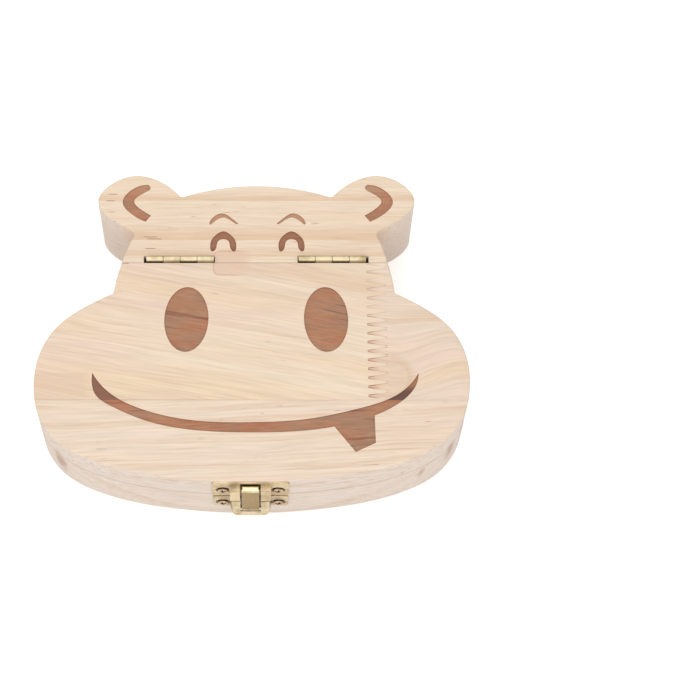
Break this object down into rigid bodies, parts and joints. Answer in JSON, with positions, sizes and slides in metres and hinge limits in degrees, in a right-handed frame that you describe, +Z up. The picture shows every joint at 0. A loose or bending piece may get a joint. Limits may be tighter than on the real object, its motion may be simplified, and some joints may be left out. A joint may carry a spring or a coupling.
{
  "type": "baby tooth box",
  "caption": "Wooden keepsake box shaped like a hippo's head, with pockets for milk teeth, a hinged lid and a brass toggle latch.",
  "frame": {"origin": "middle of the whole box's footprint, on the face it rests on", "axes": "+X to the face's right ear in the picture, +Y towards the ears, +Z up out of the burnt face; the chin and latch point to -Y"},
  "size_m": [0.136, 0.1084, 0.0314],
  "materials": {
    "pine": "planed and sanded, unvarnished",
    "hinge_brass": "rolled sheet brass",
    "latch_brass": "pressed sheet brass"
  },
  "bodies": {
    "base": {"base_tray": "pine", "forehead_board": "pine", "left_hinge_forehead_leaf": "hinge_brass", "left_hinge_forehead_screws": "hinge_brass", "left_hinge_pin": "hinge_brass", "right_hinge_forehead_leaf": "hinge_brass", "right_hinge_forehead_screws": "hinge_brass", "right_hinge_pin": "hinge_brass", "latch_base_plate": "latch_brass", "latch_base_screws": "latch_brass", "latch_lever_rivets": "latch_brass"},
    "lid": {"lid_main_board": "pine", "lid_side_board": "pine", "lid_front_board": "pine", "left_hinge_lid_leaf": "hinge_brass", "left_hinge_lid_screws": "hinge_brass", "right_hinge_lid_leaf": "hinge_brass", "right_hinge_lid_screws": "hinge_brass", "latch_keeper": "latch_brass", "latch_keeper_screws": "latch_brass"},
    "lever": {"latch_lever": "latch_brass", "latch_link_pin": "latch_brass"},
    "link": {"latch_link": "latch_brass"}
  },
  "joints": [
    {"name": "lid_opening", "type": "hinge", "parent": "base", "child": "lid", "pos_m": [0, 0.02425, 0.0304], "axis": [-1, 0, 0], "range_deg": [0, 180]},
    {"name": "lever_swing", "type": "hinge", "parent": "base", "child": "lever", "pos_m": [-0.00038, -0.05273, 0.017], "axis": [-1, 0, 0], "range_deg": [0, 100]},
    {"name": "link_swing", "type": "hinge", "parent": "lever", "child": "link", "pos_m": [-0.00038, -0.05278, 0.0124], "axis": [-1, 0, 0], "range_deg": [-78, 0]}
  ],
  "couplings": [
    {"joint": "link_swing", "follows": "lever_swing", "ratio": -0.78}
  ]
}
